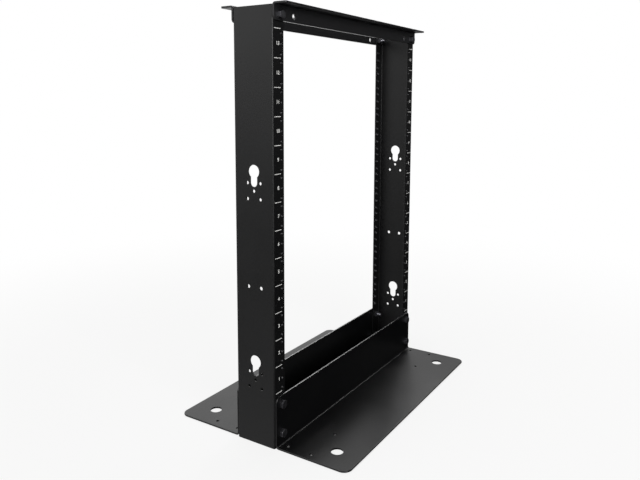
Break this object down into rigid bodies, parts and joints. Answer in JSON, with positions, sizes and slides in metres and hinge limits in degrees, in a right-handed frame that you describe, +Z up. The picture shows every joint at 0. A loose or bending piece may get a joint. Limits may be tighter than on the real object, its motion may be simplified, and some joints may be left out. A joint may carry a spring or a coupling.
{
  "type": "two post open frame rack",
  "caption": "Open frame equipment rack with folded channel posts on wide base angles, tied by top angles, in black powder coat.",
  "frame": {"origin": "middle of the footprint on the floor", "axes": "+Z up, -Y towards the front, +X to the right seen from the front"},
  "size_m": [0.508, 0.3452, 0.7078],
  "materials": {
    "frame_coat": "satin black powder coat on sheet steel",
    "hardware_coat": "black oxide steel"
  },
  "bodies": {
    "root": {"left_upright": "frame_coat", "right_upright": "frame_coat", "front_base_angle": "frame_coat", "back_base_angle": "frame_coat", "front_top_angle": "frame_coat", "back_top_angle": "frame_coat", "front_left_lower_bolt": "hardware_coat", "front_left_lower_nut": "hardware_coat", "front_left_upper_bolt": "hardware_coat", "front_left_upper_nut": "hardware_coat", "front_left_top_bolt": "hardware_coat", "front_left_top_nut": "hardware_coat", "front_right_lower_bolt": "hardware_coat", "front_right_lower_nut": "hardware_coat", "front_right_upper_bolt": "hardware_coat", "front_right_upper_nut": "hardware_coat", "front_right_top_bolt": "hardware_coat", "front_right_top_nut": "hardware_coat", "back_left_lower_bolt": "hardware_coat", "back_left_lower_nut": "hardware_coat", "back_left_upper_bolt": "hardware_coat", "back_left_upper_nut": "hardware_coat", "back_left_top_bolt": "hardware_coat", "back_left_top_nut": "hardware_coat", "back_right_lower_bolt": "hardware_coat", "back_right_lower_nut": "hardware_coat", "back_right_upper_bolt": "hardware_coat", "back_right_upper_nut": "hardware_coat", "back_right_top_bolt": "hardware_coat", "back_right_top_nut": "hardware_coat"}
  },
  "joints": []
}
